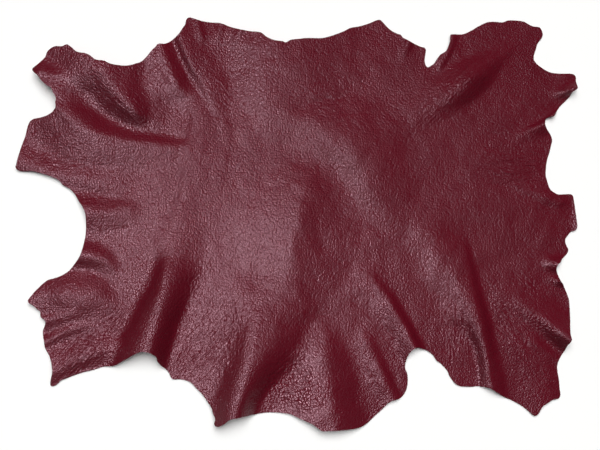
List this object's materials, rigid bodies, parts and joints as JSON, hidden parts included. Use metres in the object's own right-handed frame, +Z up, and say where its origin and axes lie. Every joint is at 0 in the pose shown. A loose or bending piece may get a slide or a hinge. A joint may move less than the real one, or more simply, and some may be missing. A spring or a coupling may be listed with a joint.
{
  "type": "leather hide",
  "caption": "Whole dyed leather skin with its natural ragged edge and shank lobes, laid grain side up with low folds running out to the edge.",
  "frame": {"origin": "on the resting plane, under the middle of the sheet's bounding box", "axes": "+Z up out of the grain side, +X along the long way of the skin, +Y across it towards the top tab"},
  "size_m": [0.899, 0.658, 0.0307],
  "materials": {
    "leather": "semi-gloss burgundy pebbled grain, matt flesh side"
  },
  "bodies": {
    "root": {"hide": "leather"}
  },
  "joints": []
}
